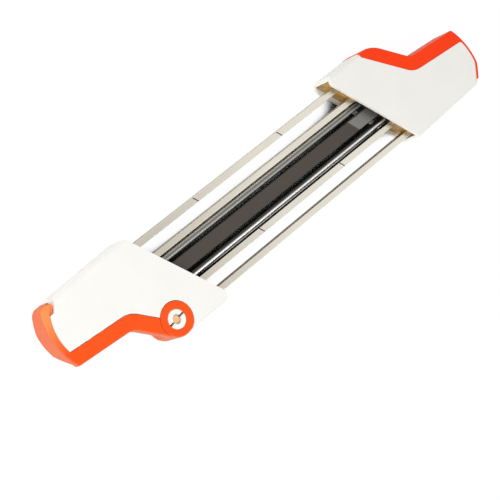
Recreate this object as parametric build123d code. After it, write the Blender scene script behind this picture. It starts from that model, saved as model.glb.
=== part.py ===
from build123d import *
import os
from math import cos, radians, sin, sqrt, tan

# A hand-held guide that files a saw chain. Two white handles hold four steel rails and three files
# between them. Both handles have the same outline, turned half a turn about Z, and their mouths are
# cut at the filing angle. An orange lever closes the near handle and swings out on a ring, so that
# the files can be drawn back through the handle. The far handle has a fixed orange grip of that shape.
# Millimetres. X runs along the files from the near handle to the far one, Z is up, and the origin is
# on the resting face, under the middle of the tool. Both handles are drawn in the far handle's place.

# Files
file_length = 200.0
round_file_diameter = 4.0
round_file_share = 0.341
flat_file_width = 8.0
flat_file_thickness = 4.5
flat_file_edge = 0.4
file_point_bevel = 0.5
plain_end_length = 28.0
tooth_relief = 0.12

# Rails
rail_width = 3.5
rail_height = 6.4
rail_edge = 0.5
rail_edge_distance = 6.6
lane_shift = -1.3
inner_rail_share = 0.548
tick_width = 0.6
tick_depth = 0.3
tick_places = (-45.5, 21.5)
tick_shift = 23.2

# Handle outline
filing_angle = 30.0
mouth_distance = 79.8
tail_reach = 161.9
handle_thickness = 18.0
long_side = 30.4
short_side = 29.4
short_side_lean = 2.3
slope_angle = 44.5
tail_corner_height = 7.8
arm_lean = 4.55
end_bulge = 4.1
mouth_corner_radius = 4.0
dip_radius = 8.0
tail_corner_radius = 2.0
end_corner_radius = 4.5
far_hump_radius = 18.5
far_cut_radius = 73.6
far_cut_bend = 6.0
far_cut_end_bend = 4.0
side_edge_radius = 3.0
orange_edge_radius = 1.0

# Orange band
band_width = 8.7
end_wall = 1.9
inner_dip_radius = 14.0
inner_tail_radius = 2.0
far_band_end = 24.6

# Lever
ring_centre_x = 98.0
ring_radius = 9.6
ring_bore_radius = 5.6
ring_notch = 5.8
lever_gap = 0.35
ring_groove = 0.5
swing_radius = 68.5
hook_reach = 10.2
hook_depth = 4.3
hook_tab = 1.4
hook_tab_width = 3.2
end_wall_fill = 10.0
lever_taper = 8.0
lever_taper_start = 2.0
lever_wall = 2.2
lever_rib = 1.8
lever_rib_count = 5
stop_thickness = 3.0
stop_height = 6.0
stop_margin = 1.0
stop_play = 0.9

# Shells
wall = 2.2
post_share = 0.8
tail_post_inset = 13.0
tail_post_y = 17.0
screw_radius = 1.0
screw_head_radius = 1.9
screw_head_height = 1.2
screw_head_sink = 0.3
screw_slot = 0.5
screw_end_gap = 1.5
hub_slot = 1.3
hub_slot_angle = 9.0
hub_slot_depth = 9.0
hub_pin_radius = 2.6
hub_pin_sink = 1.2
hub_edge = 0.5
window_margin = 0.6

# Blocks that carry the rails and the files
block_inset = 1.8
block_depth = 8.0
guide_depth = 3.0
socket_depth = 8.0
insert_rail_gap = 0.25
block_side_gap = 0.3
file_insertion = 20.2
rail_end_inset = 0.6
rail_pin_radius = 1.0
rail_pin_gap = 0.5

# Clearances
fit_gap = 0.1
bore_gap = 0.1
pin_gap = 0.05
overrun = 10.0

# Worked out from the sizes above
mid_height = handle_thickness / 2
ring_centre_y = long_side - ring_radius
slant = tan(radians(filing_angle))
along = 1 / cos(radians(filing_angle))
ring = Vector(ring_centre_x, ring_centre_y)
outer_rail_offset = min(long_side, short_side) - rail_edge_distance
inner_rail_offset = outer_rail_offset * inner_rail_share
round_file_offset = outer_rail_offset * round_file_share
insert_width = 2 * (inner_rail_offset - rail_width / 2 - insert_rail_gap)
post_radius = post_share * (outer_rail_offset - inner_rail_offset - rail_width) / 2
tail_post_x = tail_reach - tail_post_inset
stop_reach = ring_centre_y + lane_shift + round_file_offset + round_file_diameter / 2 + stop_margin


def lane_offset(far):
    """How far the rails and files lie off a handle's middle, seen from that handle."""
    return lane_shift if far else -lane_shift


def mouth_x(y, back=0.0):
    """Where the slanted mouth crosses height y, or a plane that lies back behind the mouth."""
    return mouth_distance - y * slant + back * along


def meet(a, a_angle, b, b_angle):
    """The point where two lines cross, each given by a point and an angle in degrees."""
    da = Vector(cos(radians(a_angle)), sin(radians(a_angle)))
    db = Vector(cos(radians(b_angle)), sin(radians(b_angle)))
    gap = Vector(b[0] - a[0], b[1] - a[1])
    share = (gap.X * db.Y - gap.Y * db.X) / (da.X * db.Y - da.Y * db.X)
    return (a[0] + da.X * share, a[1] + da.Y * share)


def shifted(point, angle, distance):
    """The point moved to the right of a line at that angle, which is the inside of the outline."""
    return (point[0] + distance * sin(radians(angle)), point[1] - distance * cos(radians(angle)))


def bend(face, point, radius):
    """Rounds the corner of the face that lies nearest to the point."""
    corner = face.vertices().sort_by_distance(Vector(*point))[0]
    return fillet(corner, radius)


def short_side_y(x):
    """The lower side of the outline, which leans in towards the tail."""
    start = mouth_x(-short_side)
    return -short_side + short_side_lean * (x - start) / (tail_reach - start)


tail_x = tail_reach - end_bulge
tail_corner = (tail_x, tail_corner_height)
end_corner = (tail_x, short_side_y(tail_x))
slope_point = (ring_centre_x + ring_radius * cos(radians(slope_angle)),
               ring_centre_y + ring_radius * sin(radians(slope_angle)))
hump = meet(slope_point, -slope_angle, (0, long_side), 0)
dip = meet(slope_point, -slope_angle, tail_corner, -arm_lean)
end_half = (tail_corner[1] - end_corner[1]) / 2
end_radius = (end_half ** 2 + end_bulge ** 2) / (2 * end_bulge)
end_centre = Vector(tail_reach - end_radius, tail_corner[1] - end_half)


def cut_corner(face):
    """Cuts the far handle's lower end corner on an arc about the hump's centre, and rounds its foot."""
    face = face & disc(far_cut_radius)
    feet = [vertex for vertex in face.vertices() if vertex.Y < end_corner[1] + short_side_lean]
    return fillet(max(feet, key=lambda vertex: vertex.X), far_cut_end_bend)


def outline(mouth_lead=0.0, far=False, rounded_mouth=True):
    """The whole outline of a handle. mouth_lead moves the mouth that far out along X."""
    long_corner = (mouth_x(long_side) - mouth_lead, long_side)
    short_x = mouth_x(-short_side) - mouth_lead
    short_corner = (short_x, short_side_y(short_x))
    end_middle = (tail_reach, (tail_corner[1] + end_corner[1]) / 2)
    edges = Polyline(end_corner, short_corner, long_corner, hump, dip, tail_corner)
    edges += ThreePointArc(tail_corner, end_middle, end_corner)
    face = make_face(edges)
    face = bend(face, hump, far_hump_radius if far else ring_radius)
    face = bend(face, dip, dip_radius)
    face = bend(face, tail_corner, tail_corner_radius)
    if far:
        face = cut_corner(face)
        face = fillet(max(face.vertices(), key=lambda vertex: vertex.X), far_cut_bend)
    else:
        face = bend(face, end_corner, end_corner_radius)
    if rounded_mouth:
        face = bend(face, long_corner, mouth_corner_radius)
        face = bend(face, short_corner, mouth_corner_radius)
    return face


def core_face(grow=0.0, mouth_lead=0.0, far=True):
    """The white area inside the orange band, or that area grown towards the band."""
    inset = band_width - grow
    slope_start = shifted(slope_point, -slope_angle, inset)
    arm_start = shifted(tail_corner, -arm_lean, inset)
    inner_dip = meet(slope_start, -slope_angle, arm_start, -arm_lean)
    inner_tail = meet(arm_start, -arm_lean, (tail_x - end_wall + grow, 0), 90)
    arm_end = meet(arm_start, -arm_lean, (tail_reach, 0), 90)
    low_end = (tail_reach, -short_side - overrun)
    side = long_side + overrun
    short_corner = (mouth_x(-short_side - overrun) - mouth_lead, -short_side - overrun)
    long_corner = (mouth_x(side) - mouth_lead, side)
    edge_x = ring_centre_x - ring_notch + grow
    turn = meet((edge_x, 0), 90, slope_start, -slope_angle)
    path = [low_end, short_corner, long_corner, (edge_x, side), turn, inner_dip, arm_end]
    face = make_face(Polyline(*path, close=True))
    face = bend(face, inner_dip, inner_dip_radius)
    limit = disc(end_radius - end_wall + grow, end_centre)
    if far:
        limit = limit & disc(far_cut_radius - end_wall + grow)
    face = face & (limit + area(0, end_centre.X, -tail_reach, tail_reach))
    return bend(face, inner_tail, inner_tail_radius)


def disc(radius, centre=ring):
    return Pos(centre.X, centre.Y) * Circle(radius)


def area(x_low, x_high, y_low, y_high):
    """A rectangle given by its limits."""
    return Pos((x_low + x_high) / 2, (y_low + y_high) / 2) * Rectangle(x_high - x_low, y_high - y_low)


def prism(face, bottom, top):
    return Pos(0, 0, bottom) * extrude(face, top - bottom)


def slanted(near, far, y_low, y_high):
    """A face between two planes parallel to the mouth, at these depths behind it."""
    corners = [(mouth_x(y_low, near), y_low), (mouth_x(y_low, far), y_low),
               (mouth_x(y_high, far), y_high), (mouth_x(y_high, near), y_high)]
    return make_face(Polyline(*corners, close=True))


def white_face(far, mouth_lead=0.0, rounded_mouth=True):
    """Plan of the white handle: all that the orange band and the ring leave."""
    face = outline(mouth_lead, far, rounded_mouth) & core_face(0.0, mouth_lead, far)
    if far:
        tip = area(mouth_distance, tail_reach + overrun, -short_side - overrun, -far_band_end)
        face += outline(mouth_lead, far, rounded_mouth) & tip
    else:
        face -= disc(ring_radius + lever_gap)
        face = face & disc(swing_radius)
    return face


def rounded_block(edge_radius, white, far):
    """A block over the outline, longer than the handle at the mouth, with its long edges rounded."""
    if white:
        left = mouth_distance / 2
        right = tail_reach + overrun
        corners = [(left, short_side_y(left)), (left, long_side), (right, long_side), (right, short_side_y(right))]
        face = make_face(Polyline(*corners, close=True))
        if far:
            face = cut_corner(face)
    else:
        face = outline(overrun, far, False)
    block = extrude(face, handle_thickness)
    rims = block.edges().group_by(Axis.Z)
    return fillet(rims[0] + rims[-1], edge_radius)


def post_places(far):
    """The three screws of a handle: two through the rail block, and one at the tail."""
    gap_middle = (outer_rail_offset + inner_rail_offset) / 2
    depth = block_inset + block_depth / 2
    heights = (gap_middle + lane_offset(far), lane_offset(far) - gap_middle)
    return [(mouth_x(y, depth), y) for y in heights] + [(tail_post_x, -tail_post_y)]


def handle_body(far):
    """A hollow handle in one piece, before it is parted into its two shells."""
    body = extrude(white_face(far), handle_thickness) & rounded_block(side_edge_radius, True, far)
    hollow = offset(white_face(far, 2 * overrun, False), -wall)
    body -= prism(hollow, wall, handle_thickness - wall)
    posts = Part()
    for x, y in post_places(far):
        posts += Pos(x, y, mid_height) * Cylinder(post_radius, handle_thickness - wall)
    return body + posts


def shells(far):
    """The lower and the upper shell of a handle."""
    body = handle_body(far)
    if not far:
        seat = disc(ring_radius) + (disc(ring_radius + lever_gap) & core_face(0.0, overrun, False))
        body += prism(seat, 0, wall)
        stop_room = stop_height / 2 + window_margin
        sweep = disc(stop_span() + window_margin)
        sweep = sweep & area(ring_centre_x + stop_root(), tail_reach, -tail_reach, tail_reach)
        window = area(ring_centre_x + stop_root(), tail_reach + overrun,
                      lane_offset(far) - round_file_offset - round_file_diameter / 2 - window_margin,
                      lane_offset(far) + flat_file_width / 2 + window_margin)
        opening = prism(sweep + window, mid_height - stop_room, mid_height + stop_room)
        body -= opening
        body -= extrude(file_section(2 * bore_gap, far), tail_reach)
    whole = area(-overrun, tail_reach + overrun, -tail_reach, tail_reach)
    lower = body & prism(whole, -overrun, mid_height)
    upper = body & prism(whole, mid_height, handle_thickness + overrun)
    for x, y in post_places(far):
        shank = Pos(x, y, mid_height) * Cylinder(screw_radius + pin_gap, handle_thickness)
        lower -= shank
        deep = screw_head_height + screw_head_sink
        lower -= Pos(x, y, deep / 2) * Cylinder(screw_head_radius + fit_gap, deep)
        pilot_top = handle_thickness - wall
        upper -= Pos(x, y, (mid_height + pilot_top) / 2) * Cylinder(screw_radius + pin_gap, pilot_top - mid_height)
    if not far:
        lower += hub()
    return lower, upper


def hub():
    """The split boss on the lower shell that the lever's ring snaps over."""
    radius = ring_bore_radius - 2 * pin_gap
    boss = Pos(ring.X, ring.Y, handle_thickness / 2) * Cylinder(radius, handle_thickness)
    boss = chamfer(boss.edges().sort_by(Axis.Z)[-1], hub_edge)
    depth = handle_thickness - hub_slot_depth
    middle = Pos(ring.X, ring.Y, handle_thickness - hub_slot_depth / 2)
    boss -= middle * Rot(0, 0, hub_slot_angle) * Box(4 * radius, hub_slot, hub_slot_depth)
    bore = middle * Cylinder(hub_pin_radius + pin_gap, hub_slot_depth)
    assert depth > wall
    return boss - bore


def hub_pin():
    """The pin that spreads the split boss, so that the ring cannot lift off."""
    bottom = handle_thickness - hub_slot_depth
    top = handle_thickness - hub_pin_sink
    pin = Pos(ring.X, ring.Y, (bottom + top) / 2) * Cylinder(hub_pin_radius, top - bottom)
    return chamfer(pin.edges().sort_by(Axis.Z)[-1], hub_edge)


def stop_line(drop):
    """X of the stop's front, from the ring's centre, at a distance below it: it faces the file ends."""
    lane = lane_offset(False)
    corner_x = mouth_x(lane) + file_insertion - ring_centre_x + stop_play
    corner_drop = ring_centre_y - lane - flat_file_width / 2
    return corner_x + (drop - corner_drop) * slant


def stop_root():
    return stop_line(ring_radius) - window_margin


def stop_span():
    """How far the stop's tip is from the ring's centre."""
    return sqrt(stop_reach ** 2 + stop_line(stop_reach) ** 2) + stop_thickness / 2


def stop_face():
    """Plan of the stop that grows from the ring and stands behind the ends of the files."""
    root = ring_radius - stop_thickness
    front = [(stop_line(root), root), (stop_line(stop_reach), stop_reach)]
    back = [(x + stop_thickness * along, drop) for x, drop in reversed(front)]
    points = [(ring.X + x, ring.Y - drop) for x, drop in front + back]
    return make_face(Polyline(*points, close=True))


def lever_face():
    """Plan of the lever without its ring: arm, end wall and hook."""
    whole = outline(0.0, False, False)
    arm = whole - core_face(lever_gap, overrun, False)
    arm = arm & area(ring_centre_x, tail_reach + overrun, -tail_reach, tail_reach)
    low = end_corner[1]
    hook_x = tail_reach - hook_reach
    hook = whole & area(hook_x, tail_reach, low - overrun, -end_wall_fill)
    top = low + hook_depth
    hook += whole & area(hook_x - hook_tab, hook_x + hook_tab, top - hook_tab_width, top)
    hook -= disc(swing_radius + lever_gap)
    keep_corner = area(tail_reach - tail_reach / 4, hook_x, low - overrun, top - hook_tab_width)
    return arm + (hook - keep_corner)


def latch_lever():
    """The orange lever: a ring, a hollow ribbed arm, an end wall and a hook, moulded in one."""
    plan = lever_face()
    ring_bottom = wall + lever_gap
    arm = extrude(plan - disc(ring_radius + 2 * lever_gap), handle_thickness)
    high = prism(plan + disc(ring_radius), ring_bottom, handle_thickness)
    body = (arm + high) & rounded_block(orange_edge_radius, False, False)
    groove = disc(ring_radius + ring_groove) - disc(ring_radius)
    body -= prism(groove, handle_thickness - ring_groove, handle_thickness + overrun)
    inner = offset(outline(0.0, False, False), -lever_wall) & plan
    room_start = ring_centre_x + ring_radius + lever_wall
    room_end = tail_x - 2 * lever_wall
    inner = inner & area(room_start, room_end, 0, tail_reach)
    pocket = prism(inner, lever_wall, handle_thickness - lever_wall)
    step = (room_end - room_start) / (lever_rib_count + 1)
    for index in range(1, lever_rib_count + 1):
        x = room_start + index * step
        rib = area(x - lever_rib / 2, x + lever_rib / 2, -tail_reach, tail_reach)
        pocket -= prism(rib, 0, handle_thickness)
    body -= pocket
    body += prism(stop_face(), mid_height - stop_height / 2, mid_height + stop_height / 2)
    body -= Pos(ring.X, ring.Y, mid_height) * Cylinder(ring_bore_radius, handle_thickness + overrun)
    return body - taper_cut()


def taper_cut():
    """The wedge that lifts the lower edge of the end wall towards the hook."""
    low = end_corner[1]
    side = Plane.YZ * make_face(Polyline((-lever_taper_start, 0), (low, lever_taper),
                                         (low - overrun, lever_taper), (low - overrun, -overrun),
                                         (-lever_taper_start, -overrun), close=True))
    return Pos(tail_x - end_wall - overrun) * extrude(side, 3 * overrun)


def grip_inlay():
    """The fixed orange grip of the far handle."""
    start = ring_centre_x - ring_notch + fit_gap
    keep = area(start, tail_reach + overrun, -far_band_end + fit_gap, tail_reach)
    core = prism(core_face(fit_gap, 2 * overrun, True), -overrun, handle_thickness + overrun)
    return (rounded_block(orange_edge_radius, False, True) & prism(keep, -overrun, handle_thickness + overrun)) - core


def file_section(grow, far):
    """The holes for the three files, in a plane across them."""
    lane = lane_offset(far)
    flat = Pos(lane, mid_height) * Rectangle(flat_file_width + 2 * grow, flat_file_thickness + 2 * grow)
    holes = Plane.YZ * flat
    for side in (-1, 1):
        place = Pos(lane + side * round_file_offset, mid_height)
        holes += Plane.YZ * place * Circle(round_file_diameter / 2 + grow)
    return holes


def block_ends():
    """Lower and upper limit in Y of the rail blocks, just inside the shells."""
    back_corner = mouth_x(-short_side, block_inset + block_depth)
    return short_side_y(back_corner) + wall + block_side_gap, long_side - wall - block_side_gap


def rail_block(far):
    """The moulded block that holds the rails and lets the files through."""
    low, high = block_ends()
    block = prism(slanted(block_inset, block_inset + block_depth, low, high), wall, handle_thickness - wall)
    for place in lanes(far):
        slot = Box(2 * tail_reach, rail_width + 2 * fit_gap, rail_height + 2 * fit_gap)
        block -= Pos(0, place, mid_height) * slot
        x = pin_x(place)
        block -= Pos(x, place, mid_height) * Cylinder(rail_pin_radius + pin_gap, handle_thickness)
    for x, y in post_places(far)[:2]:
        block -= Pos(x, y, mid_height) * Cylinder(post_radius + fit_gap, handle_thickness)
    return block - extrude(file_section(bore_gap, far), tail_reach)


def insert_face(far, depth):
    """Plan of a slanted insert between the inner rails, right behind the rail block."""
    start = block_inset + block_depth
    lane = lane_offset(far)
    return slanted(start, start + depth, lane - insert_width / 2, lane + insert_width / 2)


def guide_plate():
    """The plate behind the near block that lines the files up."""
    face = insert_face(False, guide_depth)
    face -= disc(ring_radius + lever_gap + wall + block_side_gap)
    plate = prism(face, wall, handle_thickness - wall)
    return plate - extrude(file_section(bore_gap, False), tail_reach)


def file_socket():
    """The closed sockets behind the far block that the files' ends stand in."""
    block = prism(insert_face(True, socket_depth), wall, handle_thickness - wall)
    bores = extrude(file_section(bore_gap, True), tail_reach)
    for offset_y, half in ((0, flat_file_width / 2), (round_file_offset, round_file_diameter / 2),
                           (-round_file_offset, round_file_diameter / 2)):
        y = lane_shift + offset_y
        reach = mouth_x(y) + file_insertion + stop_play
        block -= bores & prism(area(0, reach, y - half - bore_gap, y + half + bore_gap), 0, handle_thickness)
    return block


def lanes(far):
    """Where the four rails lie in Y, from the outer left one, seen from a handle."""
    offsets = (outer_rail_offset, inner_rail_offset, -inner_rail_offset, -outer_rail_offset)
    return [lane_offset(far) + place for place in offsets]


def pin_x(y):
    return mouth_x(y, block_inset + block_depth / 2)


def rail(y, tick_side):
    """One rail: a bar with pin holes near its ends and engraved angle ticks on one face."""
    high = mouth_x(y, block_inset + block_depth) - rail_end_inset
    low = -mouth_x(-y, block_inset + block_depth) + rail_end_inset
    bar = Pos((low + high) / 2, y, mid_height) * Box(high - low, rail_width, rail_height)
    bar = fillet(bar.edges().filter_by(Axis.X), rail_edge)
    for x in (pin_x(y), -pin_x(-y)):
        bar -= Pos(x, y, mid_height) * Cylinder(rail_pin_radius + pin_gap, handle_thickness)
    shift = (outer_rail_offset - abs(y - lane_shift)) / (outer_rail_offset - inner_rail_offset) * tick_shift
    for place in tick_places if tick_side else ():
        mark = Rot(0, 0, filing_angle) * Box(tick_width, 4 * rail_width, 2 * tick_depth)
        height = mid_height + tick_side * rail_height / 2
        bar -= Pos(place + shift, y, height) * mark
    return bar


def round_file(y):
    """A round file: a cut body and a plain end that is slightly thinner."""
    high = mouth_x(y) + file_insertion
    radius = round_file_diameter / 2
    low = high - file_length
    cut_end = high - plain_end_length
    body = Pos((low + cut_end) / 2, y, mid_height) * Rot(0, 90, 0) * Cylinder(radius, cut_end - low)
    body = chamfer(body.edges().sort_by(Axis.X)[0], file_point_bevel)
    shank = Pos((cut_end + high) / 2, y, mid_height) * Rot(0, 90, 0) * Cylinder(radius - tooth_relief, high - cut_end)
    shank = chamfer(shank.edges().sort_by(Axis.X)[-1], file_point_bevel)
    return body + shank


def flat_file():
    """The flat file: a cut bar and a plain end that is slightly thinner."""
    high = mouth_x(lane_shift) + file_insertion
    low = high - file_length
    cut_end = high - plain_end_length - plain_end_length / 4
    body = Box(cut_end - low, flat_file_width, flat_file_thickness)
    body = Pos((low + cut_end) / 2, lane_shift, mid_height) * chamfer(body.edges().filter_by(Axis.X), flat_file_edge)
    relief = 2 * tooth_relief
    shank = Box(high - cut_end, flat_file_width - relief, flat_file_thickness - relief)
    shank = chamfer(shank.edges().filter_by(Axis.X), flat_file_edge)
    return body + Pos((cut_end + high) / 2, lane_shift, mid_height) * shank


def screws(far):
    """Three slotted screws, driven from below."""
    parts = []
    for x, y in post_places(far):
        top = handle_thickness - wall - screw_end_gap
        shank = Pos(x, y, (screw_head_sink + top) / 2) * Cylinder(screw_radius, top - screw_head_sink)
        head = Pos(x, y, screw_head_sink + screw_head_height / 2) * Cylinder(screw_head_radius, screw_head_height)
        slot = Pos(x, y, screw_head_sink) * Box(4 * screw_head_radius, screw_slot, screw_head_height)
        parts.append(shank + head - slot)
    return Compound(children=[part.solid() for part in parts])


def rail_pins(far):
    """The four pins that hold the rails in a block."""
    low = wall + rail_pin_gap
    high = handle_thickness - wall - rail_pin_gap
    parts = [Pos(pin_x(y), y, (low + high) / 2) * Cylinder(rail_pin_radius, high - low) for y in lanes(far)]
    return Compound(children=[part.solid() for part in parts])


def turned(shape):
    """The same piece on the near handle, half a turn about Z."""
    return Rot(0, 0, 180) * shape


far_lower, far_upper = shells(True)
near_lower, near_upper = shells(False)
rail_names = ("outer_left_rail", "inner_left_rail", "inner_right_rail", "outer_right_rail")
rail_ticks = (1, -1, 1, -1)
pieces = {
    "near_lower_shell": turned(near_lower),
    "near_upper_shell": turned(near_upper),
    "near_handle_screws": turned(screws(False)),
    "near_rail_block": turned(rail_block(False)),
    "near_rail_pins": turned(rail_pins(False)),
    "file_guide_plate": turned(guide_plate()),
    "lever_hub_pin": turned(hub_pin()),
    "latch_lever": turned(latch_lever()),
    "far_lower_shell": far_lower,
    "far_upper_shell": far_upper,
    "far_handle_screws": screws(True),
    "far_grip_inlay": grip_inlay(),
    "far_rail_block": rail_block(True),
    "far_rail_pins": rail_pins(True),
    "file_socket_block": file_socket(),
    "flat_file": flat_file(),
    "round_file_left": round_file(lane_shift + round_file_offset),
    "round_file_right": round_file(lane_shift - round_file_offset),
}
for name, y, tick_side in zip(rail_names, lanes(True), rail_ticks):
    pieces[name] = rail(y, tick_side)

os.makedirs("parts", exist_ok=True)
for name, shape in pieces.items():
    export_step(shape, f"parts/{name}.step")
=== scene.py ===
import math

import bpy
from mathutils import Matrix, Vector


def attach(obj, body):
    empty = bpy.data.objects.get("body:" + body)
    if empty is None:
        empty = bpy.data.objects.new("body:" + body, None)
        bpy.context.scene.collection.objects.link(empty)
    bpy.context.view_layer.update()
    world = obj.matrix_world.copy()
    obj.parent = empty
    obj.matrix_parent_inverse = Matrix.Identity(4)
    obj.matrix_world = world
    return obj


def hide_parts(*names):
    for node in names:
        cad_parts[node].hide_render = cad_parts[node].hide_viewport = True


# Looks of a saw chain file guide: ivory and orange handles, steel rails, cut files.
# Metres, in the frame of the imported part: X along the files, Z up.

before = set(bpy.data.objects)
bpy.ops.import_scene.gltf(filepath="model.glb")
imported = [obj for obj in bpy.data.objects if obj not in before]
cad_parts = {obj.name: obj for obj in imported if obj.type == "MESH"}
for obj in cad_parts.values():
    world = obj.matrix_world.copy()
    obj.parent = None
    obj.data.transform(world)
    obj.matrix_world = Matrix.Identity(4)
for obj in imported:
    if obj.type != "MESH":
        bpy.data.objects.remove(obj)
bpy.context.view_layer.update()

# The photograph's view
CAMERA_AZIMUTH = math.radians(162.9)
CAMERA_ELEVATION = math.radians(59.0)
CAMERA_ROLL = math.radians(70.25)
CAMERA_DISTANCE = 0.936
CAMERA_TARGET = Vector((-0.0338, -0.0187, 0.009))
FOCAL_PIXELS = 1735
PICTURE_PIXELS = 500
SENSOR_WIDTH = 36.0
CLIP_NEAR = 0.01
CLIP_FAR = 20.0

# Light and floor: each lamp has a name, a place, the point that it lights, a length, a width and a power
WHITE = (1.0, 1.0, 1.0, 1.0)
ROOM_LIGHT = 0.55
LAMPS = (
    ("strip", (-0.2, -0.62, 0.66), (0.0, 0.0, 0.0), 1.2, 0.12, 3.8),
    ("front", (-0.8, 0.2, 0.5), (-0.15, 0.0, 0.0), 0.7, 0.7, 4.0),
    ("back", (-0.15, 0.8, 0.35), (-0.1, 0.0, 0.0), 0.8, 0.3, 1.7),
)
FLOOR = (0.93, 0.93, 0.93)
FLOOR_SIZE = 6.0
FLOOR_ROUGHNESS = 0.9
FLOOR_SPECULAR = 0.1
FLOOR_GLOW = 1.03
FLOOR_GLOW_SHARE = 0.92
# Painted shade: where ambient occlusion finds narrow gaps, the floor's colour turns dark
FLOOR_SHADED = (0.03, 0.03, 0.03)
FLOOR_SHADE_REACH = 0.03
FLOOR_SHADE_START = 0.21
FLOOR_SHADE_END = 0.27
FLOOR_SHADE_SAMPLES = 48

# Cloudy patterns that the finishes share
CLOUD_DETAIL = 4.0
CLOUD_ROUGHNESS = 0.55
CLOUD_LOW = 0.3
CLOUD_HIGH = 0.7

# Moulded plastic
IVORY = (0.875, 0.865, 0.825)
IVORY_SHADE = (0.815, 0.805, 0.765)
IVORY_ROUGHNESS = 0.42
LEVER_ORANGE = (0.95, 0.09, 0.006)
LEVER_ORANGE_DEEP = (0.9, 0.072, 0.004)
# Painted light: a paler, duller colour on the lever's walls that don't face up
LEVER_PAINTED_SIDE_LIGHT = (0.7, 0.14, 0.05)
# Painted highlight: the lever's colour turns paler towards +Y
LEVER_PAINTED_PALE = (0.93, 0.27, 0.08)
LEVER_ROUGHNESS = 0.4
PALE_START = 0.0
PALE_END = 0.02
GRIP_ORANGE = (0.98, 0.048, 0.001)
GRIP_ORANGE_DEEP = (0.92, 0.04, 0.001)
# Painted light: a paler, duller colour on the grip's walls that don't face up
GRIP_PAINTED_SIDE_LIGHT = (0.8, 0.12, 0.06)
GRIP_ROUGHNESS = 0.45
SIDE_SLOPE = 0.9
SIDE_BLEND = 0.25
CLOUD_SIZE = 60.0
SHEEN_SIZE = 400.0
SHEEN_LESS = 0.05
SHEEN_MORE = 0.07
GRAIN_SIZE = 2600.0
GRAIN_DETAIL = 2.0
GRAIN_DEPTH = 0.00002
PLASTIC_SPECULAR = 0.2

# Amber blocks, darkened by painted shade in the lane of the files
AMBER = (0.6, 0.38, 0.13)
AMBER_DARK = (0.36, 0.19, 0.04)
AMBER_ROUGHNESS = 0.3
AMBER_GRAIN_DEPTH = 0.00001
AMBER_CLOUD_SIZE = 220.0
AMBER_CLOUD_DETAIL = 5.0
AMBER_CLOUD_LOW = 0.35
AMBER_CLOUD_HIGH = 0.65
AMBER_DENT_DEPTH = 0.0003
AMBER_DENT_STRENGTH = 0.5
# Painted shade: the dark in the lane where the files enter the mouth
LANE_PAINTED_SHADE = (0.02, 0.018, 0.015)
LANE_MIDDLE = -0.0013
LANE_SHADE_EDGE = 0.0112
LANE_SHADE_BLEND = 0.001

# Drawn steel rails
RAIL_BRIGHT = (0.8, 0.77, 0.68)
RAIL_DULL = (0.68, 0.64, 0.54)
RAIL_ROUGHNESS = 0.34
LINE_STRETCH = (6.0, 1500.0, 1500.0)
LINE_DETAIL = 3.0
LINE_LOW = 0.25
LINE_HIGH = 0.75
LINE_LESS = 0.1
LINE_MORE = 0.12
LINE_DEPTH = 0.00003
LINE_STRENGTH = 0.6
PATCH_STRETCH = (18.0, 120.0, 120.0)
# The rails turn greyer towards the near end
RAIL_NEAR_GREY = (0.46, 0.42, 0.34)
NEAR_GREY_START = -0.075
NEAR_GREY_END = 0.0
NEAR_GREY_SHARE = 0.6
# Painted shade on the +Y side of the right rails
INNER_SIDE_PAINTED_SHADE = (0.03, 0.027, 0.024)
OUTER_SIDE_PAINTED_SHADE = (0.2, 0.15, 0.1)
SIDE_SHADE_SLOPE = 0.6
SIDE_SHADE_FULL_SLOPE = 0.9
TICK_DARK = (0.03, 0.028, 0.025)
TICK_SLOPE = 0.96
TICK_FULL_SLOPE = 0.98
RAIL_TOP = 0.0122
TICK_FLOOR = 0.0002
TICK_MOUTH = 0.00005

# Cut file steel: the dark and the pale of the teeth, then the plain end
FLAT_FILE_STEEL = ((0.06, 0.052, 0.043), (0.105, 0.092, 0.08), (0.22, 0.215, 0.205))
LEFT_FILE_STEEL = ((0.72, 0.7, 0.67), (0.8, 0.78, 0.75), (0.7, 0.69, 0.67))
RIGHT_FILE_STEEL = ((0.84, 0.82, 0.81), (0.92, 0.9, 0.89), (0.8, 0.79, 0.78))
FLAT_FILE_ROUGHNESS = 0.5
LEFT_FILE_ROUGHNESS = 0.4
RIGHT_FILE_ROUGHNESS = 0.35
FLAT_PLAIN_START = 0.0658
LEFT_PLAIN_START = 0.0682
RIGHT_PLAIN_START = 0.0769
PLAIN_EDGE = 0.0004
PLAIN_SLANT = math.tan(math.radians(30.0))
FILE_METALLIC = 0.9
FIRST_CUT_TURN = math.radians(28.0)
FIRST_CUT_SIZE = 620.0
SECOND_CUT_TURN = math.radians(-36.0)
SECOND_CUT_SIZE = 480.0
ROWS_LOW = 0.3
ROWS_HIGH = 1.8
TOOTH_DEPTH = 0.00005
TOOTH_STRENGTH = 0.5

# Painted highlights and shade across a round file: a place from its right side to its left, and a brightness
FILE_RADIUS = 0.002
LEFT_FILE_MIDDLE = 0.00647
RIGHT_FILE_MIDDLE = -0.00907
LEFT_PAINTED_HIGHLIGHTS = ((0.0, 0.05), (0.3, 0.42), (0.4, 0.42), (0.6, 0.2), (0.7, 0.25), (0.84, 0.9), (1.0, 0.8))
RIGHT_PAINTED_HIGHLIGHTS = ((0.0, 0.02), (0.17, 0.9), (0.42, 1.0), (0.52, 0.4), (0.62, 0.06), (0.85, 0.05), (1.0, 0.01))
HIGHLIGHT_BLUE = 0.97

# Screws, pins and the lever's hub pin
SCREW = (0.5, 0.5, 0.51)
SCREW_ROUGHNESS = 0.35
BRASS = (0.78, 0.52, 0.3)
BRASS_ROUGHNESS = 0.4
RUB_SIZE = 900.0
RUB_LESS = 0.08
RUB_MORE = 0.1

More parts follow.
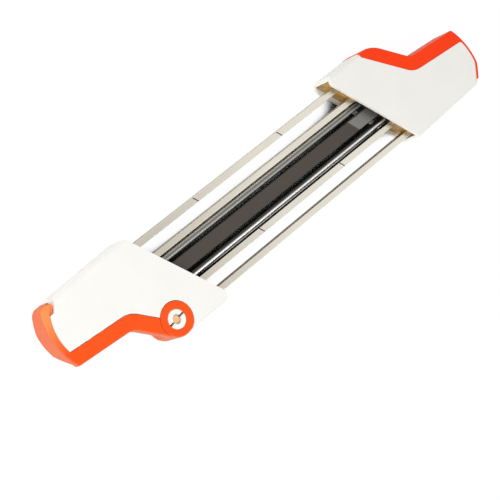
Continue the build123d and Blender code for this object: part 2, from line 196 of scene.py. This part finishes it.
# The end of the near handle: its band is the top of the end wall, and its lip covers the hook's path
RING_CENTRE = (-0.098, -0.0208)
SWING_RADIUS = 0.0685
BAND_CENTRE = (-0.1293, 0.0077)
BAND_RADIUS = 0.029
PART_HEIGHT = 0.018
FLUSH = 0.01798
END_OUTER = 0.1605
END_INNER = 0.149
END_TOP = 0.0006
END_TURN = 0.0125
PAD_LOW = 0.0092
LIP_LOW = 0.0169
LIP_GAP = 0.00015
LIP_OVERLAP = 0.001
FILL_OVERLAP = 0.004
HOOK_TOP = 0.0212
HOOK_FOOT = 0.03
HOOK_STEP_RADIUS = 0.0711
MARGIN = 0.002

# The lower edge of the lever's arm and end wall: a place across the tool, and a height
ARM_LOW = 0.0125
ARM_CUT_START = 0.1097
ARM_CUT_SIDE = 0.035
STUB_START = 0.101
STUB_SIDE = 0.013
RING_KEEP = 0.0099
LOW_EDGE = ((-0.035, 0.0125), (-0.012, 0.0125), (-0.0055, 0.0145), (0.0025, 0.006), (0.01, 0.0048),
            (0.018, 0.0043), (0.0235, 0.0055), (0.03, 0.0085))

# Mesh work
TOOL_SIDES = 192
WELD = 0.000001
SMOOTH_ANGLE = math.radians(28.0)
LEVEL_SLOPE = 0.9995
NORMAL_WEIGHT = 100


def clear_selection():
    bpy.ops.object.select_all(action="DESELECT")


def choose(piece):
    """Selects one piece alone and makes it the active one."""
    clear_selection()
    piece.select_set(True)
    bpy.context.view_layer.objects.active = piece


def finish_material(name, colour, roughness, metallic=0.0):
    """A material with its shader, ready for its nodes."""
    material = bpy.data.materials.new(name)
    material.use_nodes = True
    shader = material.node_tree.nodes["Principled BSDF"]
    shader.inputs["Base Color"].default_value = (*colour, 1.0)
    shader.inputs["Roughness"].default_value = roughness
    shader.inputs["Metallic"].default_value = metallic
    return material, shader


def object_place(tree, scale=(1.0, 1.0, 1.0), turn=0.0):
    """Object coordinates, turned about Z and scaled for a pattern."""
    place = tree.nodes.new("ShaderNodeTexCoord")
    mapping = tree.nodes.new("ShaderNodeMapping")
    mapping.inputs["Scale"].default_value = scale
    mapping.inputs["Rotation"].default_value = (0.0, 0.0, turn)
    tree.links.new(place.outputs["Object"], mapping.inputs["Vector"])
    return mapping.outputs["Vector"]


def split_place(tree, vector):
    node = tree.nodes.new("ShaderNodeSeparateXYZ")
    tree.links.new(vector, node.inputs["Vector"])
    return node.outputs["X"], node.outputs["Y"], node.outputs["Z"]


def surface_facing(tree):
    """Which way the surface faces: its normal in object coordinates, as X, Y and Z."""
    place = tree.nodes.new("ShaderNodeTexCoord")
    return split_place(tree, place.outputs["Normal"])


def cloudy(tree, vector, size, detail=CLOUD_DETAIL):
    noise = tree.nodes.new("ShaderNodeTexNoise")
    noise.inputs["Scale"].default_value = size
    noise.inputs["Detail"].default_value = detail
    noise.inputs["Roughness"].default_value = CLOUD_ROUGHNESS
    tree.links.new(vector, noise.inputs["Vector"])
    return noise.outputs["Fac"]


def remap(tree, value, low, high, to_low, to_high):
    """The value, taken from one range to another."""
    node = tree.nodes.new("ShaderNodeMapRange")
    node.inputs["From Min"].default_value = low
    node.inputs["From Max"].default_value = high
    node.inputs["To Min"].default_value = to_low
    node.inputs["To Max"].default_value = to_high
    tree.links.new(value, node.inputs["Value"])
    return node.outputs["Result"]


def arithmetic(tree, operation, first, second):
    """The result of one operation on two values, each of them a number or a socket."""
    node = tree.nodes.new("ShaderNodeMath")
    node.operation = operation
    for socket, value in ((node.inputs[0], first), (node.inputs[1], second)):
        if isinstance(value, float):
            socket.default_value = value
        else:
            tree.links.new(value, socket)
    return node.outputs["Value"]


def blend_colours(tree, share, first, second):
    """Two colours, or two colour sockets, blended by a share."""
    mix = tree.nodes.new("ShaderNodeMix")
    mix.data_type = "RGBA"
    tree.links.new(share, mix.inputs["Factor"])
    for socket, colour in ((mix.inputs["A"], first), (mix.inputs["B"], second)):
        if isinstance(colour, tuple):
            socket.default_value = (*colour, 1.0)
        else:
            tree.links.new(colour, socket)
    return mix.outputs["Result"]


def raise_bumps(tree, shader, height, depth, strength=1.0):
    bump = tree.nodes.new("ShaderNodeBump")
    bump.inputs["Distance"].default_value = depth
    bump.inputs["Strength"].default_value = strength
    tree.links.new(height, bump.inputs["Height"])
    tree.links.new(bump.outputs["Normal"], shader.inputs["Normal"])


def moulded_plastic(name, colour, shade, roughness, grain=GRAIN_DEPTH, painted_side_light=None, painted_pale=None):
    """Moulded plastic: faint cloudy colour, fine grain, painted light on its sides or a painted pale end."""
    material, shader = finish_material(name, colour, roughness)
    tree = material.node_tree
    vector = object_place(tree)
    colour_so_far = blend_colours(tree, cloudy(tree, vector, CLOUD_SIZE), colour, shade)
    # Painted highlight: paler towards +Y
    if painted_pale:
        _, across, _ = split_place(tree, vector)
        pale_share = remap(tree, across, PALE_START, PALE_END, 0.0, 1.0)
        colour_so_far = blend_colours(tree, pale_share, colour_so_far, painted_pale)
    # Painted light: walls that don't face up take the paler, duller side colour
    if painted_side_light:
        _, _, upward = surface_facing(tree)
        flank = remap(tree, upward, SIDE_SLOPE - SIDE_BLEND, SIDE_SLOPE, 1.0, 0.0)
        colour_so_far = blend_colours(tree, flank, colour_so_far, painted_side_light)
    tree.links.new(colour_so_far, shader.inputs["Base Color"])
    sheen = remap(tree, cloudy(tree, vector, SHEEN_SIZE), CLOUD_LOW, CLOUD_HIGH,
                  roughness - SHEEN_LESS, roughness + SHEEN_MORE)
    tree.links.new(sheen, shader.inputs["Roughness"])
    raise_bumps(tree, shader, cloudy(tree, vector, GRAIN_SIZE, GRAIN_DETAIL), grain)
    shader.inputs["Specular IOR Level"].default_value = PLASTIC_SPECULAR
    return material


def mouth_amber(name):
    """Amber plastic, darkened by painted shade where the files pass."""
    material, shader = finish_material(name, AMBER, AMBER_ROUGHNESS)
    tree = material.node_tree
    vector = object_place(tree)
    clouds = cloudy(tree, vector, AMBER_CLOUD_SIZE, AMBER_CLOUD_DETAIL)
    _, across, _ = split_place(tree, vector)
    off_lane = tree.nodes.new("ShaderNodeMath")
    off_lane.operation = "ABSOLUTE"
    tree.links.new(arithmetic(tree, "SUBTRACT", across, LANE_MIDDLE), off_lane.inputs[0])
    # Painted shade in the lane of the files
    outside_lane = remap(tree, off_lane.outputs["Value"], LANE_SHADE_EDGE - LANE_SHADE_BLEND, LANE_SHADE_EDGE, 0.0, 1.0)
    mottled = remap(tree, clouds, AMBER_CLOUD_LOW, AMBER_CLOUD_HIGH, 0.0, 1.0)
    colour = blend_colours(tree, mottled, AMBER, AMBER_DARK)
    tree.links.new(blend_colours(tree, outside_lane, LANE_PAINTED_SHADE, colour), shader.inputs["Base Color"])
    raise_bumps(tree, shader, clouds, AMBER_DENT_DEPTH, AMBER_DENT_STRENGTH)
    return material


def drawn_steel(name, painted_side_shade=None):
    """Drawn bar: fine lines along X, patches, a greyer near end, dark ticks, painted shade on the +Y side.
    """
    material, shader = finish_material(name, RAIL_BRIGHT, RAIL_ROUGHNESS, 1.0)
    tree = material.node_tree
    lines = cloudy(tree, object_place(tree, LINE_STRETCH), 1.0, LINE_DETAIL)
    patches = cloudy(tree, object_place(tree, PATCH_STRETCH), 1.0)
    along, _, height = split_place(tree, object_place(tree))
    _, sideways, upward = surface_facing(tree)
    groove = remap(tree, height, RAIL_TOP - TICK_FLOOR, RAIL_TOP - TICK_MOUTH, 1.0, 0.0)
    level = remap(tree, upward, TICK_SLOPE, TICK_FULL_SLOPE, 0.0, 1.0)
    groove = arithmetic(tree, "MULTIPLY", groove, level)
    steel = blend_colours(tree, patches, RAIL_BRIGHT, RAIL_DULL)
    # Greyer towards the near end
    near_grey = remap(tree, along, NEAR_GREY_START, NEAR_GREY_END, NEAR_GREY_SHARE, 0.0)
    steel = blend_colours(tree, near_grey, steel, RAIL_NEAR_GREY)
    # Painted shade on the faces that turn towards +Y
    if painted_side_shade:
        flank = remap(tree, sideways, SIDE_SHADE_SLOPE, SIDE_SHADE_FULL_SLOPE, 0.0, 1.0)
        steel = blend_colours(tree, flank, steel, painted_side_shade)
    tree.links.new(blend_colours(tree, groove, steel, TICK_DARK), shader.inputs["Base Color"])
    sheen = remap(tree, lines, LINE_LOW, LINE_HIGH, RAIL_ROUGHNESS - LINE_LESS, RAIL_ROUGHNESS + LINE_MORE)
    tree.links.new(sheen, shader.inputs["Roughness"])
    raise_bumps(tree, shader, lines, LINE_DEPTH, LINE_STRENGTH)
    return material


def cut_rows(tree, turn, size):
    """Rows of file teeth as a saw-shaped wave."""
    wave = tree.nodes.new("ShaderNodeTexWave")
    wave.wave_type = "BANDS"
    wave.bands_direction = "X"
    wave.wave_profile = "SAW"
    wave.inputs["Scale"].default_value = size
    wave.inputs["Distortion"].default_value = 0.0
    tree.links.new(object_place(tree, turn=turn), wave.inputs["Vector"])
    return wave.outputs["Fac"]


def painted_highlight_stripes(tree, colour, across, middle, stops):
    """A round file's colour, with painted highlights and shade in stripes, and plain at its left edge."""
    share = remap(tree, across, middle - FILE_RADIUS, middle + FILE_RADIUS, 0.0, 1.0)
    ramp = tree.nodes.new("ShaderNodeValToRGB")
    tree.links.new(share, ramp.inputs["Fac"])
    marks = ramp.color_ramp.elements
    marks.remove(marks[-1])
    mark = marks[0]
    for place, level in stops:
        if place > 0.0:
            mark = marks.new(place)
        mark.color = (level, level, level * HIGHLIGHT_BLUE, 1.0)
    marks.new(1.0).color = WHITE
    mix = tree.nodes.new("ShaderNodeMix")
    mix.data_type = "RGBA"
    mix.blend_type = "MULTIPLY"
    mix.inputs["Factor"].default_value = 1.0
    tree.links.new(colour, mix.inputs["A"])
    tree.links.new(ramp.outputs["Color"], mix.inputs["B"])
    return mix.outputs["Result"]


def file_steel(name, colours, roughness, plain_start, slanted=False, painted_highlights=None):
    """Hardened file steel: crossed rows of fine teeth, and a paler plain end that may start on a slant."""
    dark, pale, plain_colour = colours
    material, shader = finish_material(name, dark, roughness, FILE_METALLIC)
    tree = material.node_tree
    first_rows = cut_rows(tree, FIRST_CUT_TURN, FIRST_CUT_SIZE)
    rows = arithmetic(tree, "ADD", first_rows, cut_rows(tree, SECOND_CUT_TURN, SECOND_CUT_SIZE))
    along, across, _ = split_place(tree, object_place(tree))
    if slanted:
        along = arithmetic(tree, "ADD", along, arithmetic(tree, "MULTIPLY", across, PLAIN_SLANT))
    plain = remap(tree, along, plain_start - PLAIN_EDGE, plain_start + PLAIN_EDGE, 0.0, 1.0)
    teeth_colour = blend_colours(tree, remap(tree, rows, ROWS_LOW, ROWS_HIGH, 0.0, 1.0), dark, pale)
    colour = blend_colours(tree, plain, teeth_colour, plain_colour)
    # A round file gets painted highlights and painted shade in stripes along its length
    if painted_highlights:
        middle, stops = painted_highlights
        colour = painted_highlight_stripes(tree, colour, across, middle, stops)
    tree.links.new(colour, shader.inputs["Base Color"])
    tooth_height = arithmetic(tree, "MULTIPLY", rows, remap(tree, plain, 0.0, 1.0, 1.0, 0.0))
    raise_bumps(tree, shader, tooth_height, TOOTH_DEPTH, TOOTH_STRENGTH)
    return material


def plain_metal(name, colour, roughness):
    """Turned or stamped metal with faint rubbing marks."""
    material, shader = finish_material(name, colour, roughness, 1.0)
    tree = material.node_tree
    marks = cloudy(tree, object_place(tree), RUB_SIZE)
    sheen = remap(tree, marks, CLOUD_LOW, CLOUD_HIGH, roughness - RUB_LESS, roughness + RUB_MORE)
    tree.links.new(sheen, shader.inputs["Roughness"])
    return material


def dress(node, material):
    """Gives a node of the part its finish."""
    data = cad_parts[node].data
    data.materials.clear()
    data.materials.append(material)


def copy_of(node, name):
    """A welded copy of a node of the part, to be reshaped."""
    clear_selection()
    piece = bpy.data.objects.new(name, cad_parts[node].data.copy())
    bpy.context.scene.collection.objects.link(piece)
    choose(piece)
    bpy.ops.object.mode_set(mode="EDIT")
    bpy.ops.mesh.select_all(action="SELECT")
    bpy.ops.mesh.remove_doubles(threshold=WELD)
    bpy.ops.object.mode_set(mode="OBJECT")
    return piece


def settle(piece):
    """Moves the place of a new piece into its mesh."""
    choose(piece)
    bpy.ops.object.transform_apply(location=True, rotation=True, scale=True)
    return piece


def disc_tool(centre, radius, low, high):
    clear_selection()
    bpy.ops.mesh.primitive_cylinder_add(vertices=TOOL_SIDES, radius=radius, depth=high - low,
                                        location=(centre[0], centre[1], (low + high) / 2))
    return settle(bpy.context.object)


def band_disc(radius, reach=MARGIN):
    """The disc whose edge is the inner side of the band, through the whole height."""
    return disc_tool(BAND_CENTRE, radius, -reach, PART_HEIGHT + reach)


def box_tool(low, high):
    clear_selection()
    middle = [(a + b) / 2 for a, b in zip(low, high)]
    bpy.ops.mesh.primitive_cube_add(size=1.0, location=middle)
    bpy.context.object.scale = [b - a for a, b in zip(low, high)]
    return settle(bpy.context.object)


def combine(piece, tool, operation):
    """Joins a tool to a piece, cuts it away or keeps what both share, and removes the tool."""
    choose(piece)
    step = piece.modifiers.new("step", "BOOLEAN")
    step.operation = operation
    step.solver = "EXACT"
    step.object = tool
    bpy.ops.object.modifier_apply(modifier=step.name)
    bpy.data.objects.remove(tool)
    return piece


def raised_edge():
    """The space under the lever's arm and end wall, whose lower edge rises towards the corner."""
    low = -MARGIN
    high = -MARGIN / 2
    tool = box_tool((-END_OUTER - MARGIN, -ARM_CUT_SIDE, low), (-ARM_CUT_START, LOW_EDGE[-1][0], high))
    bpy.ops.object.mode_set(mode="EDIT")
    bpy.ops.mesh.select_all(action="SELECT")
    for place, _ in LOW_EDGE[:-1]:
        bpy.ops.mesh.bisect(plane_co=(0.0, place, 0.0), plane_no=(0.0, 1.0, 0.0))
        bpy.ops.mesh.select_all(action="SELECT")
    bpy.ops.object.mode_set(mode="OBJECT")
    heights = dict(LOW_EDGE)
    for point in tool.data.vertices:
        if point.co.z > (low + high) / 2:
            nearest = min(heights, key=lambda place: abs(place - point.co.y))
            point.co.z = heights[nearest]
    return tool


def smooth_curves(piece):
    """Smooth curved walls, and level faces that stay flat."""
    choose(piece)
    bpy.ops.object.shade_smooth_by_angle(angle=SMOOTH_ANGLE)
    for face in piece.data.polygons:
        if abs(face.normal.z) > LEVEL_SLOPE:
            face.use_smooth = False
    weights = piece.modifiers.new("weights", "WEIGHTED_NORMAL")
    weights.keep_sharp = True
    weights.weight = NORMAL_WEIGHT
    bpy.ops.object.modifier_apply(modifier=weights.name)
    return piece


def lever_with_band():
    """The lever with a thicker end wall, a hook that passes under the lip, and a raised lower edge."""
    lever = copy_of("latch_lever", "lever_body")
    pad = box_tool((-END_OUTER, -END_TOP, PAD_LOW), (-END_INNER, END_TURN, FLUSH))
    combine(pad, band_disc(BAND_RADIUS), "DIFFERENCE")
    combine(lever, pad, "UNION")
    under_lip = box_tool((-END_OUTER - MARGIN, END_TURN - FILL_OVERLAP, LIP_LOW - LIP_GAP),
                         (-END_INNER, HOOK_TOP + LIP_GAP, PART_HEIGHT + MARGIN))
    combine(under_lip, band_disc(BAND_RADIUS), "INTERSECT")
    combine(lever, under_lip, "DIFFERENCE")
    hook_step = disc_tool(RING_CENTRE, HOOK_STEP_RADIUS, LIP_LOW - LIP_GAP, PART_HEIGHT + MARGIN)
    hook_room = box_tool((-END_OUTER, HOOK_TOP, 0.0), (-END_INNER, HOOK_FOOT, PART_HEIGHT + MARGIN))
    combine(hook_step, hook_room, "INTERSECT")
    combine(lever, hook_step, "DIFFERENCE")
    combine(lever, raised_edge(), "DIFFERENCE")
    stub = box_tool((-ARM_CUT_START, -ARM_CUT_SIDE, -MARGIN), (-STUB_START, -STUB_SIDE, ARM_LOW))
    combine(stub, disc_tool(RING_CENTRE, RING_KEEP, -2 * MARGIN, PART_HEIGHT), "DIFFERENCE")
    combine(lever, stub, "DIFFERENCE")
    return smooth_curves(lever)


def cover_with_lip():
    """The near handle's upper shell, trimmed to the band, with a thin lip over the hook's path."""
    shell = copy_of("near_upper_shell", "near_top_cover")
    trim = box_tool((-END_OUTER - MARGIN, -END_TOP, -MARGIN), (-END_INNER, HOOK_TOP, PART_HEIGHT + MARGIN))
    combine(trim, band_disc(BAND_RADIUS - LIP_GAP, 2 * MARGIN), "DIFFERENCE")
    combine(shell, trim, "DIFFERENCE")
    lip = box_tool((-END_OUTER, END_TURN - FILL_OVERLAP, LIP_LOW), (-END_INNER, HOOK_TOP, FLUSH))
    combine(lip, band_disc(BAND_RADIUS - LIP_GAP), "INTERSECT")
    handle_side = disc_tool(RING_CENTRE, SWING_RADIUS - LIP_OVERLAP, -MARGIN, PART_HEIGHT + MARGIN)
    combine(lip, handle_side, "DIFFERENCE")
    combine(shell, lip, "UNION")
    return smooth_curves(shell)


def place_camera():
    direction = Vector((math.cos(CAMERA_ELEVATION) * math.cos(CAMERA_AZIMUTH),
                        math.cos(CAMERA_ELEVATION) * math.sin(CAMERA_AZIMUTH), math.sin(CAMERA_ELEVATION)))
    level = (-direction).cross(Vector((0, 0, 1))).normalized()
    upright = level.cross(-direction)
    right = math.cos(CAMERA_ROLL) * level + math.sin(CAMERA_ROLL) * upright
    top = math.cos(CAMERA_ROLL) * upright - math.sin(CAMERA_ROLL) * level
    data = bpy.data.cameras.new("camera")
    data.sensor_width = SENSOR_WIDTH
    data.lens = FOCAL_PIXELS / PICTURE_PIXELS * SENSOR_WIDTH
    data.clip_start = CLIP_NEAR
    data.clip_end = CLIP_FAR
    camera = bpy.data.objects.new("camera", data)
    bpy.context.scene.collection.objects.link(camera)
    turn = Matrix((right, top, direction)).transposed().to_4x4()
    camera.matrix_world = Matrix.Translation(CAMERA_TARGET + CAMERA_DISTANCE * direction) @ turn
    bpy.context.scene.camera = camera


def soft_lamp(name, place, aim, length, width, power):
    data = bpy.data.lights.new(name, "AREA")
    data.shape = "RECTANGLE"
    data.size = length
    data.size_y = width
    data.energy = power
    lamp = bpy.data.objects.new(name, data)
    bpy.context.scene.collection.objects.link(lamp)
    lamp.location = place
    lamp.rotation_euler = (Vector(aim) - Vector(place)).to_track_quat("-Z", "Y").to_euler()


def studio():
    """A white room seen by the camera and by gloss, with softer light on the object."""
    world = bpy.data.worlds.new("studio")
    world.use_nodes = True
    bpy.context.scene.world = world
    tree = world.node_tree
    room = tree.nodes["Background"]
    room.inputs["Color"].default_value = WHITE
    room.inputs["Strength"].default_value = ROOM_LIGHT
    white = tree.nodes.new("ShaderNodeBackground")
    white.inputs["Color"].default_value = WHITE
    white.inputs["Strength"].default_value = 1.0
    path = tree.nodes.new("ShaderNodeLightPath")
    seen = arithmetic(tree, "MAXIMUM", path.outputs["Is Camera Ray"], path.outputs["Is Glossy Ray"])
    seen = arithmetic(tree, "MAXIMUM", seen, path.outputs["Is Transmission Ray"])
    mix = tree.nodes.new("ShaderNodeMixShader")
    tree.links.new(seen, mix.inputs["Fac"])
    tree.links.new(room.outputs["Background"], mix.inputs[1])
    tree.links.new(white.outputs["Background"], mix.inputs[2])
    tree.links.new(mix.outputs["Shader"], tree.nodes["World Output"].inputs["Surface"])


def floor():
    """A pale floor: the camera sees it white, with the object's shadow, and painted shade in narrow gaps."""
    clear_selection()
    bpy.ops.mesh.primitive_plane_add(size=FLOOR_SIZE, location=(0.0, 0.0, 0.0))
    piece = bpy.context.object
    piece.name = "floor"
    material, shader = finish_material("floor_white", FLOOR, FLOOR_ROUGHNESS)
    shader.inputs["Specular IOR Level"].default_value = FLOOR_SPECULAR
    tree = material.node_tree
    glow = tree.nodes.new("ShaderNodeEmission")
    glow.inputs["Color"].default_value = WHITE
    glow.inputs["Strength"].default_value = FLOOR_GLOW
    path = tree.nodes.new("ShaderNodeLightPath")
    # Painted shade: ambient occlusion darkens the floor's colour in narrow gaps
    shelter = tree.nodes.new("ShaderNodeAmbientOcclusion")
    shelter.inputs["Distance"].default_value = FLOOR_SHADE_REACH
    shelter.samples = FLOOR_SHADE_SAMPLES
    lit = remap(tree, shelter.outputs["AO"], FLOOR_SHADE_START, FLOOR_SHADE_END, 0.0, 1.0)
    tree.links.new(blend_colours(tree, lit, FLOOR_SHADED, FLOOR), shader.inputs["Base Color"])
    lit = arithmetic(tree, "MULTIPLY", lit, FLOOR_GLOW_SHARE)
    share = arithmetic(tree, "MULTIPLY", path.outputs["Is Camera Ray"], lit)
    mix = tree.nodes.new("ShaderNodeMixShader")
    tree.links.new(share, mix.inputs["Fac"])
    tree.links.new(shader.outputs["BSDF"], mix.inputs[1])
    tree.links.new(glow.outputs["Emission"], mix.inputs[2])
    tree.links.new(mix.outputs["Shader"], tree.nodes["Material Output"].inputs["Surface"])
    piece.data.materials.append(material)


place_camera()
studio()
floor()
for lamp in LAMPS:
    soft_lamp(*lamp)
bpy.context.scene.view_settings.view_transform = "Standard"

ivory = moulded_plastic("ivory_plastic", IVORY, IVORY_SHADE, IVORY_ROUGHNESS)
lever_orange = moulded_plastic("lever_orange_plastic", LEVER_ORANGE, LEVER_ORANGE_DEEP, LEVER_ROUGHNESS,
                               painted_side_light=LEVER_PAINTED_SIDE_LIGHT, painted_pale=LEVER_PAINTED_PALE)
grip_orange = moulded_plastic("grip_orange_plastic", GRIP_ORANGE, GRIP_ORANGE_DEEP, GRIP_ROUGHNESS,
                              painted_side_light=GRIP_PAINTED_SIDE_LIGHT)
amber = moulded_plastic("amber_plastic", AMBER, AMBER_DARK, AMBER_ROUGHNESS, AMBER_GRAIN_DEPTH)
left_rail_steel = drawn_steel("rail_steel")
screw_finish = plain_metal("screw_steel", SCREW, SCREW_ROUGHNESS)
brass = plain_metal("pin_brass", BRASS, BRASS_ROUGHNESS)

for shell in ("near_lower_shell", "near_upper_shell", "far_lower_shell", "far_upper_shell"):
    dress(shell, ivory)
dress("latch_lever", lever_orange)
dress("far_grip_inlay", grip_orange)
for block in ("near_rail_block", "far_rail_block"):
    dress(block, mouth_amber(block + "_amber"))
for block in ("file_guide_plate", "file_socket_block"):
    dress(block, amber)
for rail in ("outer_left_rail", "inner_left_rail"):
    dress(rail, left_rail_steel)
dress("inner_right_rail", drawn_steel("inner_right_rail_steel", INNER_SIDE_PAINTED_SHADE))
dress("outer_right_rail", drawn_steel("outer_right_rail_steel", OUTER_SIDE_PAINTED_SHADE))
for fixing in ("near_handle_screws", "far_handle_screws", "near_rail_pins", "far_rail_pins"):
    dress(fixing, screw_finish)
dress("lever_hub_pin", brass)
dress("flat_file", file_steel("flat_file_steel", FLAT_FILE_STEEL, FLAT_FILE_ROUGHNESS, FLAT_PLAIN_START,
                              slanted=True))
dress("round_file_left", file_steel("left_file_steel", LEFT_FILE_STEEL, LEFT_FILE_ROUGHNESS,
                                    LEFT_PLAIN_START, painted_highlights=(LEFT_FILE_MIDDLE, LEFT_PAINTED_HIGHLIGHTS)))
dress("round_file_right", file_steel("right_file_steel", RIGHT_FILE_STEEL, RIGHT_FILE_ROUGHNESS,
                                     RIGHT_PLAIN_START, painted_highlights=(RIGHT_FILE_MIDDLE, RIGHT_PAINTED_HIGHLIGHTS)))

# The reshaped pieces are copies of dressed nodes, so they carry the same finish
lever_body = lever_with_band()
near_top_cover = cover_with_lip()
for piece, node, body, slot in ((lever_body, "latch_lever", "latch", "orange_plastic"),
                                (near_top_cover, "near_upper_shell", "holder", "ivory_plastic")):
    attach(piece, body)
    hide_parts(node)
